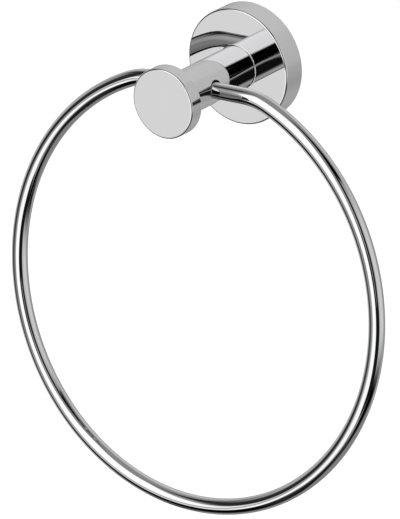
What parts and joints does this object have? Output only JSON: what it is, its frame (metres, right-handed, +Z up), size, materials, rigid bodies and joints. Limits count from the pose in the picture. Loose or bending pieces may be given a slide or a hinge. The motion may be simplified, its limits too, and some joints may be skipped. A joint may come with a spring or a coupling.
{
  "type": "towel ring",
  "caption": "Round wire towel ring with a flattened top, held in a cross-bored post with a button head, on a round wall flange with a hidden wall plate.",
  "frame": {"origin": "on the wall plane, at the centre of the round flange and of the wall plate's two slots", "axes": "+Z up, +Y into the wall along the post's axis, +X to the right of someone facing the wall"},
  "size_m": [0.1992, 0.0661, 0.2158],
  "materials": {
    "polished_chrome": "mirror polished chrome plate on brass",
    "zinc_plated_steel": "bright zinc plate, stamped and turned",
    "screw_steel": "plain stainless steel, cold headed"
  },
  "bodies": {
    "root": {"flange_cover": "polished_chrome", "post": "polished_chrome", "towel_ring": "polished_chrome", "wall_plate": "zinc_plated_steel", "post_lock_washer": "zinc_plated_steel", "post_screw": "screw_steel", "flange_grub_screw": "screw_steel", "ring_clamp_screw": "screw_steel"}
  },
  "joints": []
}
